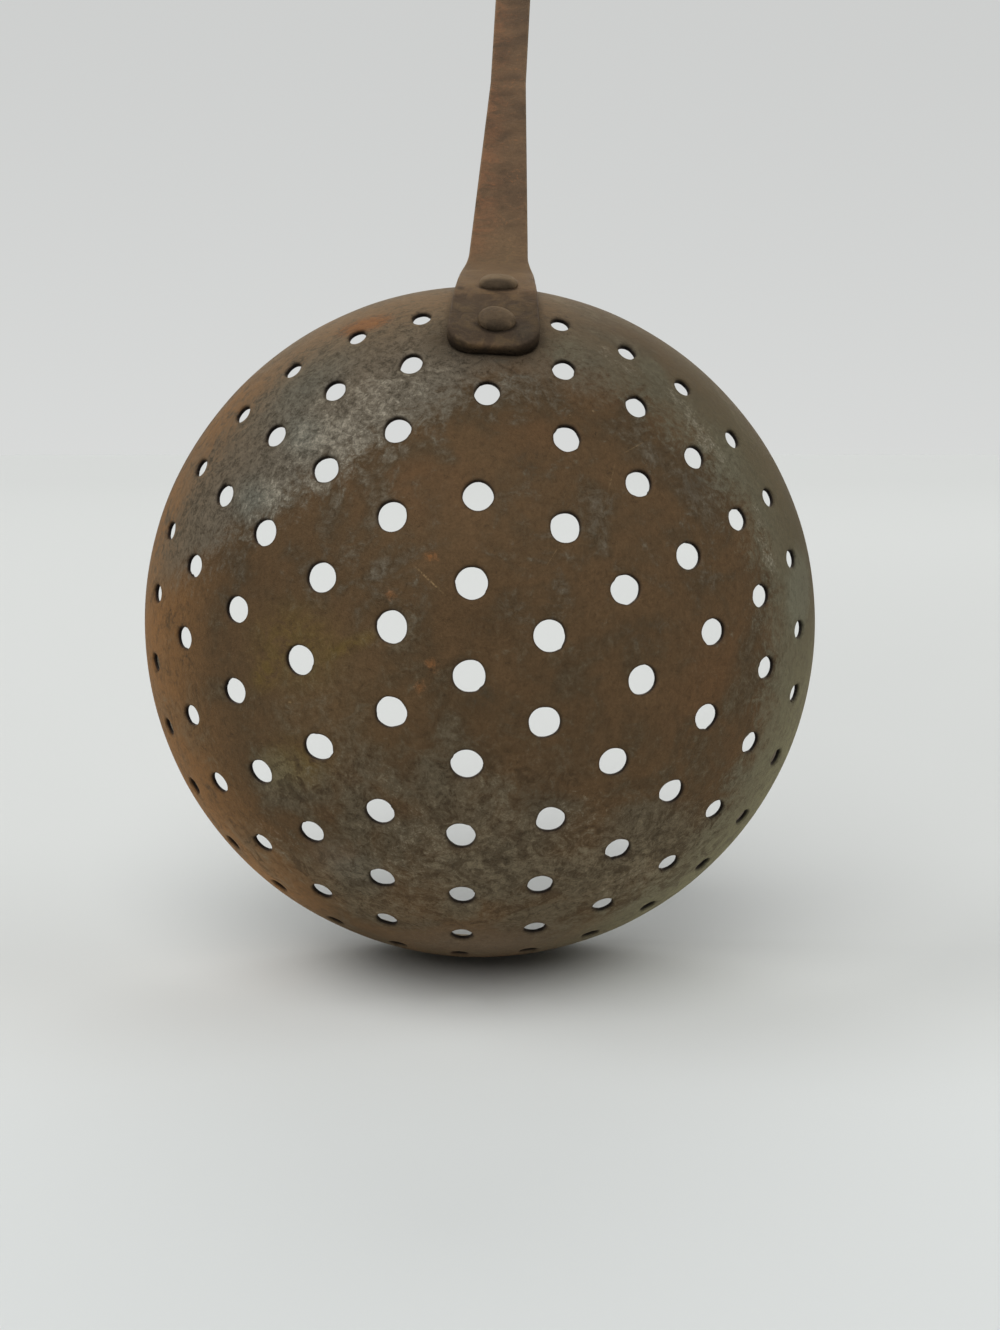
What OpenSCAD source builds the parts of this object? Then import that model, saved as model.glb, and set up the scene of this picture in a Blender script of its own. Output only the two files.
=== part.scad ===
// Sieve ladle: a pierced sheet-metal bowl on a forged strap handle, held by two rivets.
// Sizes are in millimetres and angles in degrees.
// +Z is up. The bowl's axis is level, with its closed side towards -Y, and the handle
// rises and leans back towards +Y in the plane X = 0. The origin is in the hanging eye, on
// the axis of its hole and halfway through it.

/* [Bowl] */
// Outside diameter of the bowl, measured across its open edge
bowl_d = 140; // [115:1:180]
// Thickness of the bowl's sheet
sheet_t = 1; // [0.8:0.1:2]

/* [Drain holes] */
// Diameter of a drain hole as it was punched, before the bowl was raised
hole_d = 5.6; // [3:0.1:6.6]
// How many times as fast a hole narrowed as its ring shrank, when the bowl was raised
hole_closing = 2.2; // [0.1:0.1:3]
// Number of rings of holes round the middle hole
hole_rings = 5; // [2:1:5]
// Distance from ring to ring, along the bowl's outside
ring_pitch = 15.4; // [12:0.1:15.6]
// Holes that each ring has more than the ring inside it
ring_growth = 6; // [4:1:6]
// How far a hole may lie from its regular place, as they were punched by hand
hole_wander = 0.35; // [0:0.05:0.5]
// Distance that the whole pattern sits to the left of the handle's line, seen from the front
pattern_shift = 1.1; // [0:0.1:3]
// Distance that the whole pattern sits below the bowl's middle, seen from the front
pattern_drop = 0.7; // [0:0.1:3]
// Least sheet left between a hole's edge and the handle's pad
pad_margin = 0.8; // [0.5:0.1:2]
// Distance from the pad's lower edge to the middle of the hole below it
pad_hole_drop = 9.4; // [8:0.1:12]

/* [Handle] */
// Thickness of the strap on the bowl and through the bend
strap_t = 2.8; // [2:0.1:4]
// Distance from the bowl's edge down to the pad's lower edge, along the bowl's outside
pad_drop = 48.9; // [44:0.1:60]
// Width of the pad
pad_w = 17.1; // [14:0.1:20]
// Radius of the pad's lower corners
pad_corner_r = 5.6; // [2:0.1:7]
// Distance below the bowl's edge at which the strap leaves the bowl
leave_drop = 13.4; // [8:0.1:17]
// Width of the strap where it leaves the bowl
root_w = 14.6; // [12:0.1:16]
// Radius of the bend, on its upper face
bend_r = 28; // [15:1:40]
// Slope of the straight stem above the level
lean = 40; // [30:1:60]
// Width of the stem just past the bend
neck_w = 12; // [9:0.1:14]
// Distance from the bend to the stem's narrowest place
waist_run = 72; // [50:1:100]
// Width of the stem at its narrowest
waist_w = 8.4; // [7:0.1:10]
// Thickness of the stem at its narrowest
waist_t = 4; // [3:0.1:5]
// Distance from the narrowest place to the middle of the hanging eye
tail_run = 220; // [120:1:300]
// Width of the stem where it meets the eye
tail_w = 11; // [9:0.1:14]
// Diameter of the flattened hanging eye
eye_d = 21; // [16:0.5:28]
// Thickness of the hanging eye
eye_t = 2.5; // [2:0.1:3.5]
// Diameter of the hole in the eye
eye_hole_d = 9; // [5:0.1:12]

/* [Rivets] */
// Distance from the bowl's edge down to the lower rivet, along the bowl's outside
lower_rivet_drop = 41.9; // [38:0.1:44]
// Distance from the bowl's edge down to the upper rivet
upper_rivet_drop = 26; // [20:0.1:30]
// Diameter of the rivets' shanks
shank_d = 4; // [3:0.1:5]
// Diameter of the heads, outside on the strap
head_d = 7.2; // [6:0.1:9]
// Height of the heads
head_h = 1.6; // [1:0.1:2.5]
// Diameter of the peened tails, inside the bowl
tail_d = 6.4; // [5.5:0.1:8]
// Height of the tails
tail_h = 1.2; // [0.8:0.1:2]

/* [Hidden] */
$fn = 96;

// Clearance between faces that touch, and round the rivets' shanks
seat_gap = 0.05;
// How far a cut runs past the face that it cuts
cut = 1;
bowl_r = bowl_d / 2;
inner_r = bowl_r - sheet_t;
strap_in_r = bowl_r + seat_gap;
strap_out_r = strap_in_r + strap_t;

// Polar angle, from the middle of the bowl's closed side, of a place that lies the given
// distance along the outside from that middle, or below the open edge
function polar_of_arc(arc) = arc / bowl_r * 180 / PI;
function polar_of_drop(drop) = 90 - polar_of_arc(drop);
pad_polar = polar_of_drop(pad_drop);
leave_polar = polar_of_drop(leave_drop);
lower_polar = polar_of_drop(lower_rivet_drop);
upper_polar = polar_of_drop(upper_rivet_drop);

// The strap's side view lies in a plane with its origin at the middle of the bowl's
// sphere, its first axis along +Y and its second along +Z.
function on_circle(r, polar) = [-r * cos(polar), r * sin(polar)];
function ray(r, angle) = [r * cos(angle), r * sin(angle)];
bend_mid = on_circle(strap_out_r + bend_r, leave_polar);
bend_from = -leave_polar;
bend_to = lean - 90;
along = [cos(lean), sin(lean)];
outward = [-sin(lean), cos(lean)];
stem_foot = bend_mid + ray(bend_r, bend_to);
waist_top = stem_foot + waist_run * along;
eye_top = waist_top + tail_run * along;
eye_start = eye_top - eye_d / 2 * along;
eye_end = eye_top + (eye_d / 2 + cut) * along;

// The middle of the bowl's sphere, seen from the middle of the eye
bowl_mid = concat([0], eye_t / 2 * outward - eye_top);

// Steps of the curved outlines
arc_step = 2;
blend_steps = 8;

// Half the strap's width at a distance run along the stem's line, from the strap's foot.
// It narrows evenly over the pad, in a smooth shoulder through the bend, evenly to the
// waist, and widens evenly to the eye.
function run_of(point) = point * along;
foot_run = run_of(on_circle(strap_out_r, pad_polar));
root_run = run_of(on_circle(strap_out_r, leave_polar));
neck_run = run_of(stem_foot);
waist_at = run_of(waist_top);
eye_at = run_of(eye_top);
function blend(t) = (1 - cos(180 * t)) / 2;

// The outline's right side as [half width, run] points, from the foot to the eye
corner_side = [for (a = [0:15:90])
    [pad_w / 2 - pad_corner_r + pad_corner_r * sin(a), foot_run + pad_corner_r * (1 - cos(a))]];
shoulder_side = [for (i = [0:blend_steps]) let (t = i / blend_steps)
    [(root_w + (neck_w - root_w) * blend(t)) / 2, root_run + (neck_run - root_run) * t]];
stem_side = [[waist_w / 2, waist_at], [tail_w / 2, eye_at]];
right_side = concat(corner_side, shoulder_side, stem_side);
count = len(right_side);
left_side = [for (i = [0:count - 1]) [-right_side[count - 1 - i][0], right_side[count - 1 - i][1]]];

// The upper face of the side view, from the foot to just past the eye, and the lower face
// back again. The eye has one thickness all over.
top_line = concat(
    [for (a = [pad_polar - arc_step:arc_step:leave_polar - 0.1]) on_circle(strap_out_r, a)],
    [for (a = [bend_from:arc_step:bend_to - 0.1]) bend_mid + ray(bend_r, a)],
    [stem_foot, eye_end]);
// The pad is cut deeper than the bowl's outside, which then gives it its seat
seat_depth = pad_w * pad_w / 8 / bowl_r + 0.2;
under_line = concat(
    [eye_end - eye_t * outward, eye_start - eye_t * outward],
    [waist_top - waist_t * outward, stem_foot - strap_t * outward],
    [for (a = [bend_to - arc_step:-arc_step:bend_from + 0.1]) bend_mid + ray(bend_r + strap_t, a)],
    [on_circle(strap_in_r, leave_polar)],
    [for (a = [leave_polar:-arc_step:pad_polar - arc_step]) on_circle(bowl_r - seat_depth, a)]);

// Puts its children on the bowl's sphere, their +Z pointing straight out of the surface
module on_bowl(polar, azimuth = 0) {
    translate(bowl_mid) rotate([90, 0, 0]) rotate([0, 0, -azimuth]) rotate([-polar, 0, 0])
        children();
}

// A drain hole clears the pad if it lies below the pad's lower edge or beside the pad. Its
// polar angle and azimuth are those in the pattern, which sits a little off the middle.
pattern_swing = polar_of_arc(pattern_shift);
pattern_tip = polar_of_arc(pattern_drop);
pad_foot_polar = pad_polar + pattern_tip;
function side_of(polar, azimuth) = bowl_r * sin(polar) * sin(azimuth) - pattern_shift * cos(polar);
function clears_pad(polar, azimuth) = let (reach = hole_d / 2 + pad_margin)
    polar < pad_foot_polar - polar_of_arc(reach) || cos(azimuth) < 0
    || abs(side_of(polar, azimuth)) > pad_w / 2 + reach;

// The hole on the handle's line that is nearest the pad is set a stated way below it
last_polar = pad_foot_polar - polar_of_arc(pad_hole_drop);
function ring_polar(ring) = polar_of_arc(ring * ring_pitch);
function near_pad(ring, i) = i == 0 && ring_polar(ring + 1) > last_polar && ring_polar(ring) < last_polar;

// Raising shrinks each ring to the sine of its polar angle over the angle, and its holes
// narrow with it, while their length towards the rim stays
function hole_width(polar) = hole_d * pow(sin(polar) / (polar * PI / 180), hole_closing);

// Hand scatter: two slow waves that never repeat over the pattern
function wander(ring, i, turn) = polar_of_arc(hole_wander * sin(i * 137 + ring * 71 + turn));

drain_holes = [for (ring = [1:hole_rings]) for (i = [0:ring * ring_growth - 1])
    let (polar = (near_pad(ring, i) ? last_polar : ring_polar(ring)) + wander(ring, i, 0),
        azimuth = i * 360 / (ring * ring_growth) + wander(ring, i, 200) / sin(ring_polar(ring)))
    if (clears_pad(polar, azimuth)) [polar, azimuth]];

// The bowl: half a hollow ball of sheet, punched flat and then raised from one disc
module bowl() {
    color("#5b4732")
    difference() {
        translate(bowl_mid) rotate([90, 0, 0])
            rotate_extrude() intersection() {
                difference() {
                    circle(r = bowl_r);
                    circle(r = inner_r);
                }
                square(bowl_r + cut);
            }
        translate(bowl_mid) rotate([pattern_tip, 0, -pattern_swing]) translate(-bowl_mid) {
            on_bowl(0) middle_hole();
            for (h = drain_holes) on_bowl(h[0], h[1]) drain_hole(hole_width(h[0]));
        }
        on_bowl(lower_polar) shank_hole();
        on_bowl(upper_polar) shank_hole();
    }
}

// The drain hole in the bowl's middle, which raising left round
module middle_hole() {
    translate([0, 0, inner_r - cut]) cylinder(d = hole_d, h = sheet_t + 2 * cut);
}

// A drain hole of a ring, square to the sheet: as wide as given, between flat sides, and
// still as long as it was punched towards the rim
module drain_hole(width) {
    translate([0, 0, inner_r - cut]) linear_extrude(sheet_t + 2 * cut) intersection() {
        circle(d = hole_d);
        square([width, hole_d + cut], center = true);
    }
}

// The hole for a rivet's shank, through the sheet and the strap
module shank_hole() {
    translate([0, 0, inner_r - cut])
        cylinder(d = shank_d + 2 * seat_gap, h = sheet_t + strap_t + 2 * cut);
}

// The handle: one forged strap with a riveting pad, a bend, a stem and a hanging eye
module handle() {
    color("#69553f")
    difference() {
        intersection() {
            translate(bowl_mid) rotate([90, 0, 90])
                linear_extrude(max(pad_w, eye_d) + cut, center = true)
                    polygon(concat(top_line, under_line));
            translate(bowl_mid) rotate([lean, 0, 0])
                linear_extrude(3 * bowl_d, center = true) {
                    polygon(concat(right_side, left_side));
                    translate([0, eye_at]) circle(d = eye_d);
                }
        }
        translate(bowl_mid) sphere(r = strap_in_r);
        on_bowl(lower_polar) shank_hole();
        on_bowl(upper_polar) shank_hole();
        rotate([lean, 0, 0]) cylinder(d = eye_hole_d, h = eye_t + 2 * cut, center = true);
    }
}

// A rivet: a domed head on the strap, a shank through strap and sheet, and a low peened
// tail inside the bowl. Its outline is turned about its axis.
module rivet() {
    head_foot = strap_out_r + seat_gap;
    tail_top = sqrt(inner_r * inner_r - tail_d * tail_d / 4) - seat_gap;
    rotate_extrude() {
        translate([0, tail_top - seat_gap]) square([shank_d / 2, head_foot - tail_top + 2 * seat_gap]);
        translate([0, head_foot]) cap_outline(head_d / 2, head_h);
        translate([0, tail_top]) mirror([0, 1]) cap_outline(tail_d / 2, tail_h);
    }
}

// Half of a low dome's outline, on a straight edge a quarter of its height
module cap_outline(r, h) {
    edge = h / 4;
    rise = h - edge;
    dome_r = (r * r + rise * rise) / 2 / rise;
    square([r, edge]);
    translate([0, edge]) intersection() {
        translate([0, rise - dome_r]) circle(r = dome_r);
        square([r, rise]);
    }
}

module lower_rivet() {
    color("#5f5040") on_bowl(lower_polar) rivet();
}

module upper_rivet() {
    color("#5f5040") on_bowl(upper_polar) rivet();
}

bowl();
handle();
lower_rivet();
upper_rivet();
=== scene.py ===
import math

import bmesh
import bpy
import numpy as np
from mathutils import Matrix, Vector


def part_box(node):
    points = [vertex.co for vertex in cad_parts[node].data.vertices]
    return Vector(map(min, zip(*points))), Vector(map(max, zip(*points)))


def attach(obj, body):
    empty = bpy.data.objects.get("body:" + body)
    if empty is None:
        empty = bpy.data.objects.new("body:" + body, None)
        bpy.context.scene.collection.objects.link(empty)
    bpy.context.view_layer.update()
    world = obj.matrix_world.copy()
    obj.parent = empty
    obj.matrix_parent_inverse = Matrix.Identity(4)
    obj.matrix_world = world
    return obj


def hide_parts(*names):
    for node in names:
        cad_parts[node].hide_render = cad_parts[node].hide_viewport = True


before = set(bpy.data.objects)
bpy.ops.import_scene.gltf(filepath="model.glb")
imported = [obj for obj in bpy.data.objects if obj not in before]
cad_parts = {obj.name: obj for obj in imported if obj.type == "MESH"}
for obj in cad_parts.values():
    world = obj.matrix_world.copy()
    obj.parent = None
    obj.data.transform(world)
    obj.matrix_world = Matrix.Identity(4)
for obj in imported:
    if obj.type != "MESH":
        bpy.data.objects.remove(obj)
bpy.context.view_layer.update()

# The view. The camera stands close in front of the bowl's closed side, a little above its
# middle, tipped down and rolled slightly, as the photograph was taken. Lengths here and
# below are millimetres from the middle of the bowl's sphere, which the frame gives.
MM = 0.001
bowl_low, bowl_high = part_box("bowl")
bowl_mid = Vector((0, bowl_high.y, (bowl_low.z + bowl_high.z) / 2))
camera_place, camera_turn, camera_tip, camera_roll = (2.0, -312.8, 37.1), -0.46, 8.33, 2.86

camera_data = bpy.data.cameras.new("photo_view")
camera_data.sensor_width = 36
camera_data.lens = 39.84
camera = bpy.data.objects.new("photo_view", camera_data)
camera.matrix_world = (
    Matrix.Translation(bowl_mid + MM * Vector(camera_place))
    @ Matrix.Rotation(math.radians(camera_turn), 4, "Z")
    @ Matrix.Rotation(math.radians(90 - camera_tip), 4, "X")
    @ Matrix.Rotation(math.radians(camera_roll), 4, "Z")
)
bpy.context.scene.collection.objects.link(camera)
bpy.context.scene.camera = camera
bpy.context.scene.view_settings.view_transform = "Standard"

# The stage: a wide sheet of pale card under the ladle, in a room as pale as the card. It
# leans with the camera's roll, so that it looks level in the picture, and touches the
# bowl's edge.
bowl_r = 70.0
card_lean, card_r = math.radians(camera_roll), 30.0
card_up = Vector((-math.sin(card_lean), 0, math.cos(card_lean)))
card_foot = bowl_mid - bowl_r * MM * card_up
round_card = np.radians(np.arange(0, 360, 5))
card = np.stack([np.cos(round_card), np.sin(round_card), 0 * round_card], axis=-1) * card_r
card_mesh = bpy.data.meshes.new("card")
card_mesh.from_pydata(card.tolist(), [], [list(range(len(card)))])
card_mesh.transform(Matrix.Translation(card_foot) @ Matrix.Rotation(-card_lean, 4, "Y"))
card_object = bpy.data.objects.new("card", card_mesh)
bpy.context.scene.collection.objects.link(card_object)


class Link:
    """A node's output. Arithmetic on it adds Math nodes to its material, with a plain
    number on either side."""

    def __init__(self, socket):
        self.socket = socket

    def node(self, kind, settings, inputs, output=0):
        """Adds a node of that type: its settings are set first, then its sockets' values
        or links."""
        tree = self.socket.id_data
        made = tree.nodes.new(kind)
        for name, value in settings.items():
            setattr(made, name, value)
        for name, value in inputs.items():
            if isinstance(value, Link):
                tree.links.new(value.socket, made.inputs[name])
            else:
                made.inputs[name].default_value = value
        return Link(made.outputs[output])

    def math(self, operation, first, second):
        return self.node("ShaderNodeMath", {"operation": operation}, {0: first, 1: second})

    def __add__(self, other):
        return self.math("ADD", self, other)

    def __sub__(self, other):
        return self.math("SUBTRACT", self, other)

    def __rsub__(self, other):
        return self.math("SUBTRACT", other, self)

    def __mul__(self, other):
        return self.math("MULTIPLY", self, other)

    def __pow__(self, other):
        return self.math("POWER", self, other)

    __radd__, __rmul__ = __add__, __mul__

    def ramp(self, low, high):
        """0 below low, 1 above high, smooth between. With low above high it falls."""
        return self.node("ShaderNodeMapRange", {"interpolation_type": "SMOOTHSTEP"},
                         {"Value": self, "From Min": low, "From Max": high})

    def mix(self, none, full):
        """The colour none where this value is 0, and full where it is 1."""
        return self.node("ShaderNodeMix", {"data_type": "RGBA"}, {0: self, 6: none, 7: full}, 2)

    def noise(self, size, detail, rough, warp=0.0):
        """Cloudy noise over a position, with lumps of that size in millimetres: detail is
        how many times it is laid over itself at half the size, rough how strong each is
        beside the one before, and warp how far it is bent."""
        return self.node("ShaderNodeTexNoise", {},
                         {"Vector": self, "Scale": 1 / size, "Detail": detail,
                          "Roughness": rough, "Distortion": warp})

    def part(self, axis):
        """One coordinate of a vector: 0, 1 or 2."""
        return self.node("ShaderNodeSeparateXYZ", {}, {0: self}, axis)

    def away_from(self, point=(0, 0, 0)):
        """How far a position lies from a point."""
        return self.node("ShaderNodeVectorMath", {"operation": "DISTANCE"}, {0: self, 1: point}, 1)

    def patch(self, x, z, width, height, turn=0.0):
        """1 in the middle of a soft oval patch as seen from the front, falling to 0 at its
        edge. Its middle is x, z, its size width by height, and it is turned anticlockwise
        by turn degrees. From front to back it has no end."""
        endless = 1e6
        moved = self.node("ShaderNodeMapping", {"vector_type": "TEXTURE"},
                          {"Vector": self, "Location": (x, 0, z),
                           "Rotation": (0, -math.radians(turn), 0),
                           "Scale": (width / 2, endless, height / 2)})
        return moved.away_from().ramp(1.0, 0.0)

    def patches(self, *ovals):
        """The sum of soft oval patches, each given as its strength and then its x, z,
        width, height and, where it is tilted, its turn."""
        return sum(self.patch(*oval) * strength for strength, *oval in ovals)

    def shade(self, amount):
        """A colour made darker or lighter by that factor."""
        return self.node("ShaderNodeVectorMath", {"operation": "SCALE"}, {0: self, "Scale": amount})

    def bump(self, height, depth):
        """A normal bent by a height from 0 to 1 that stands for depth in millimetres."""
        return self.node("ShaderNodeBump", {}, {"Height": height, "Distance": depth * MM})


def seen(red, green, blue):
    """A colour as it looks on a screen, 0 to 255, in the linear values that shaders use:
    the standard screen curve undone."""
    screen = np.array([red, green, blue]) / 255
    linear = np.where(screen <= 0.04045, screen / 12.92, ((screen + 0.055) / 1.055) ** 2.4)
    return (*linear.tolist(), 1.0)


def new_material(name):
    """A material with one Principled shader, the place on the piece in millimetres from the middle of the
    bowl's sphere, and the piece's wear and painted shade."""
    made = bpy.data.materials.new(name)
    made.use_nodes = True
    shader = made.node_tree.nodes["Principled BSDF"]
    origin = Link(made.node_tree.nodes.new("ShaderNodeTexCoord").outputs["Object"])
    place = origin.node("ShaderNodeMapping", {"vector_type": "TEXTURE"},
                        {"Vector": origin, "Location": bowl_mid, "Scale": (MM, MM, MM)})
    wear_and_shade = origin.node("ShaderNodeAttribute", {"attribute_name": "wear_and_shade"}, {}, "Fac")
    return made, shader, place, wear_and_shade


def feed(shader, **sockets):
    """Sets or links the shader's sockets: Base_Color=x stands for Base Color."""
    for name, value in sockets.items():
        socket = shader.inputs[name.replace("_", " ")]
        if isinstance(value, Link):
            shader.id_data.links.new(value.socket, socket)
        else:
            socket.default_value = value


# The card is painted greyer far off and paler in front, a painted fall of light, and dimmer to the right of
# the bowl, a painted shadow of it
card_paint, card_shader, place, _ = new_material("pale_card")
across, back = place.part(0), place.part(1)
card_painted_light = back.ramp(0, 5000).mix(seen(219, 221, 219), seen(214, 216, 214))
card_painted_light = back.ramp(-30, -100).mix(card_painted_light, seen(223, 226, 225))
painted_shadow_right = across.ramp(50, 120) * back.ramp(-80, 20) * back.ramp(1500, 200)
card_painted_light = card_painted_light.shade(1 - painted_shadow_right * 0.045)
feed(card_shader, Base_Color=card_painted_light, Roughness=0.9, Specular_IOR_Level=0.0)
card_mesh.materials.append(card_paint)

# Four broad soft lights: the angle from straight in front towards the right, the height
# above the card and the width, all in degrees, and the strength
lights = [
    ("front_light", -12, 48, 50, 2.0),
    ("left_light", -80, 46, 30, 0.55),
    ("right_light", 75, 46, 30, 0.42),
    ("back_light", 180, 30, 60, 0.9),
]
for name, turn, height, width, strength in lights:
    light_data = bpy.data.lights.new(name, "SUN")
    light_data.angle, light_data.energy = math.radians(width), strength
    light = bpy.data.objects.new(name, light_data)
    light.rotation_euler = (math.radians(90 - height), 0, math.radians(turn))
    bpy.context.scene.collection.objects.link(light)

# The room lights the ladle evenly, and its walls look as pale as the card, also in metal,
# and a little darker higher up
world = bpy.data.worlds.new("room")
world.use_nodes = True
room = world.node_tree.nodes["Background"]
room.inputs["Color"].default_value = (0.985, 1.0, 0.99, 1)
ray = world.node_tree.nodes.new("ShaderNodeLightPath")
looked_at = (Link(ray.outputs["Is Camera Ray"]) + Link(ray.outputs["Is Glossy Ray"])
             + Link(ray.outputs["Is Transmission Ray"]))
room_light, room_shown, shown_less = 0.17, 0.738, 0.119
room_up = Link(world.node_tree.nodes.new("ShaderNodeTexCoord").outputs["Generated"]).part(2)
shown = room_shown - room_up.ramp(-0.25, 0.35) * shown_less
feed(room, Strength=looked_at * (shown - room_light) + room_light)
bpy.context.scene.world = world


# The bowl: one disc of sheet, pierced with a punch in five rings of holes round a middle
# one, and then raised by hammering into half a ball, which narrowed the outer holes
# sideways. Its edge is filed round.
sheet_t = 1.0
hole_r, ring_pitch, ring_growth, ring_count = 2.8, 15.4, 6, 5
hole_wander, pattern_shift, pattern_drop, hole_closing = 0.35, 1.1, 0.7, 2.2
pad_drop, pad_hole_drop, pad_width, pad_margin = 48.9, 9.4, 17.1, 0.8


def angle_of(arc):
    """The angle in degrees that an arc in millimetres spans on the bowl's outside."""
    return math.degrees(arc / bowl_r)


def sine(degrees):
    """The sine of an angle in degrees."""
    return math.sin(math.radians(degrees))


def cosine(degrees):
    """The cosine of an angle in degrees."""
    return math.cos(math.radians(degrees))


pattern_swing, pattern_tip = pattern_shift / bowl_r, pattern_drop / bowl_r
pad_polar = 90 - angle_of(pad_drop)
pad_foot_polar = pad_polar + angle_of(pattern_drop)
last_polar = pad_foot_polar - angle_of(pad_hole_drop)


def bowl_direction(polar, azimuth):
    """Unit vectors in the holes' pattern: polar degrees from the middle of the closed
    side, azimuth degrees from straight up towards the right. The whole pattern is tipped a
    little down about the level line through the bowl's middle, and then swung a little to
    the left about the upright one."""
    polar, azimuth = np.radians(polar), np.radians(azimuth)
    x, y, z = np.sin(polar) * np.sin(azimuth), -np.cos(polar), np.sin(polar) * np.cos(azimuth)
    c, s = math.cos(pattern_tip), math.sin(pattern_tip)
    x, y, z = x + 0 * z, y * c - z * s, y * s + z * c
    c, s = math.cos(pattern_swing), math.sin(pattern_swing)
    return np.stack([x * c + y * s, -x * s + y * c, z], axis=-1)


def wander(ring, i, turn):
    """How far a hand-punched hole strays from its regular place, in degrees: the hole's
    number in a sine, whose long steps make it look like chance."""
    return angle_of(hole_wander * sine(i * 137 + ring * 71 + turn))


def hole_place(ring, i):
    """Polar angle and azimuth of a drain hole, or None where the handle's pad is."""
    if ring == 0:
        return 0.0, 0.0
    regular, further = angle_of(ring * ring_pitch), angle_of((ring + 1) * ring_pitch)
    near_pad = i == 0 and regular < last_polar < further
    polar = (last_polar if near_pad else regular) + wander(ring, i, 0)
    azimuth = i * 360 / (ring * ring_growth) + wander(ring, i, 200) / sine(regular)
    reach = hole_r + pad_margin
    side = bowl_r * sine(polar) * sine(azimuth) - pattern_shift * cosine(polar)
    below = polar < pad_foot_polar - angle_of(reach)
    if below or cosine(azimuth) < 0 or abs(side) > pad_width / 2 + reach:
        return polar, azimuth
    return None


def hole_reach(polar, turn):
    """From a hole's middle to its edge, turn radians from the way to the rim: an oval as
    long as the punch, which narrowed faster than its ring shrank when the disc was raised."""
    narrow = (sine(polar) / math.radians(polar)) ** hole_closing if polar else 1
    return hole_r / np.sqrt(np.cos(turn) ** 2 + (np.sin(turn) / narrow) ** 2)


# The hammered sheet's slow and quick waves, in millimetres
slow_wave, quick_wave = 0.13, 0.05


def unevenness(direction):
    """How far the hammered sheet lies inside the true ball: slow waves across the bowl
    in three directions, never outwards."""
    x, y, z = np.moveaxis(direction, -1, 0)
    slow = np.sin(7 * x + 3 * z + 1) * np.sin(5 * z - 4 * x + 2 * y)
    quick = np.sin(17 * x - 9 * z + 8 * y) * np.sin(13 * z + 11 * x + 0.5)
    return slow_wave * (1 + slow) / 2 + quick_wave * (1 + quick) / 2


def on_sheet(direction, depth):
    """Points on the sheet, depth millimetres in from its outside."""
    return direction * (bowl_r - depth - unevenness(direction))[..., None]


# Steps round each circle between two rings of holes, which both rings can share out
circle_steps = [48, 120, 216, 288, 480, 480]
side_steps = 14
# Near the pad the third ring's hole sits lower, and the cells round it give way
give_polar, give_wide, give_far = 41.0, 7.0, 5.0


def cell_edge(ring, i):
    """Directions along the edge of the cell of sheet round one hole, as a closed loop."""
    inner, outer = angle_of((ring - 0.5) * ring_pitch), angle_of((ring + 0.5) * ring_pitch)
    if ring == 0:
        azimuth = np.arange(circle_steps[0]) * 360 / circle_steps[0]
        return bowl_direction(outer + 0 * azimuth, azimuth)
    cells = ring * ring_growth
    start, end = (i - 0.5) * 360 / cells, (i + 0.5) * 360 / cells
    far, near = circle_steps[ring] // cells, circle_steps[ring - 1] // cells
    along = [np.arange(n) / n for n in (far, side_steps, near, side_steps)]
    azimuth = np.concatenate([start + (end - start) * along[0], end + 0 * along[1],
                              end + (start - end) * along[2], start + 0 * along[3]])
    polar = np.concatenate([outer + 0 * along[0], outer + (inner - outer) * along[1],
                            inner + 0 * along[2], inner + (outer - inner) * along[3]])
    turned = (azimuth + 180) % 360 - 180
    beside = turned * np.sin(np.radians(polar))
    given = give_far * np.exp(-((polar - give_polar) / give_wide) ** 2 - (beside / give_wide) ** 2)
    return bowl_direction(polar + given, azimuth)


# A hole's section from the cell's edge, in round the punched lip and back under the
# sheet: first as a share of the way to the lip, then as distance out from the hole
outer_share, inner_share = [0, 0.3, 0.56, 0.8], [0.55, 0]
lip_out = [0.9, 0.42, 0.16, 0.03, 0.0, 0.0, 0.22, 0.7]
lip_depth = [0.0, 0.04, 0.11, 0.24, 0.42, sheet_t, sheet_t + 0.08, sheet_t]
lip_rough = [0.0, 0.3, 0.8, 1.0, 1.0, 1.0, 0.6, 0.0]
# Painted shade: 0 on the sheet, 1 on a hole's lip, 2 on its wall
lip_shade = [0.0, 0.3, 0.7, 1.0, 1.6, 2.0, 1.0, 0.0]
scatter = np.random.default_rng(4)


def ragged_edge(steps):
    """How far a hand-punched hole's edge strays from its circle: a few slow waves and
    two or three small nicks."""
    turn = np.arange(steps) * 2 * np.pi / steps
    stray = np.zeros(steps)
    for waves in (2, 3, 4, 7):
        stray += scatter.normal(0, 0.09 / waves) * np.sin(waves * turn + scatter.uniform(0, 6.3))
    for _ in range(scatter.integers(1, 4)):
        apart = (turn - scatter.uniform(0, 6.3) + np.pi) % (2 * np.pi) - np.pi
        stray += scatter.normal(0, 0.09) * np.exp(-(apart / scatter.uniform(0.08, 0.16)) ** 2)
    return stray


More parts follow.
